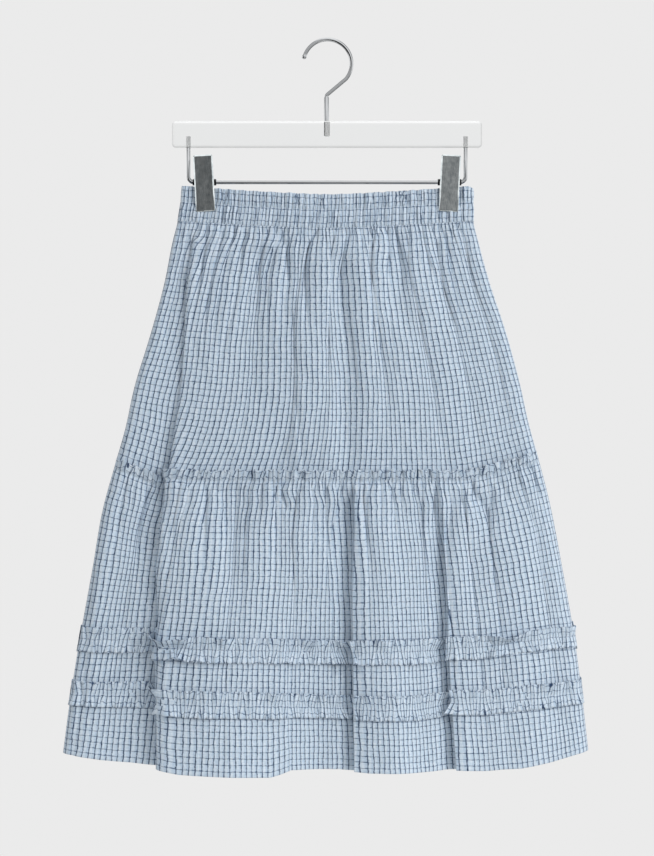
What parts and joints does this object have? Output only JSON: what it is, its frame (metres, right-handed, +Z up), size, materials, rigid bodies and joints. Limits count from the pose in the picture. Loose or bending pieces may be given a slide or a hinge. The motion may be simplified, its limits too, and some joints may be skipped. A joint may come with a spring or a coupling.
{
  "type": "tiered ruffle skirt on clip hanger",
  "caption": "Tiered skirt in light blue checked cotton with a gathered elastic waist, a frilled tier seam and ruffle bands above its hem, clipped to a clear bar hanger.",
  "frame": {"origin": "the inner top of the hook's bow, where the hanger is held", "axes": "+Z up, -Y towards the garment's front, +X to the right of someone who faces its front"},
  "size_m": [0.581, 0.0868, 0.8089],
  "materials": {
    "checked_cotton": "light plain-woven cotton with a fine blue-grey check",
    "waistband_casing": "the same cotton, gathered close over elastic",
    "ruffle_cotton": "the same cotton, gathered along the middle of the strip",
    "clear_acrylic": "clear, polished",
    "chromed_steel": "polished",
    "black_spring_steel": "black, satin"
  },
  "bodies": {
    "root": {"waistband_front": "waistband_casing", "waistband_back": "waistband_casing", "upper_tier_front": "checked_cotton", "upper_tier_back": "checked_cotton", "lower_tier_front": "checked_cotton", "lower_tier_back": "checked_cotton", "ruffle_1_front": "ruffle_cotton", "ruffle_1_back": "ruffle_cotton", "ruffle_2_front": "ruffle_cotton", "ruffle_2_back": "ruffle_cotton", "hanger_bar": "clear_acrylic", "hanger_hook": "chromed_steel", "clip_rail": "chromed_steel", "clip_left_jaw_front": "chromed_steel", "clip_left_jaw_back": "chromed_steel", "clip_left_sleeve": "black_spring_steel", "clip_left_spring": "black_spring_steel", "clip_right_jaw_front": "chromed_steel", "clip_right_jaw_back": "chromed_steel", "clip_right_sleeve": "black_spring_steel", "clip_right_spring": "black_spring_steel"}
  },
  "joints": []
}
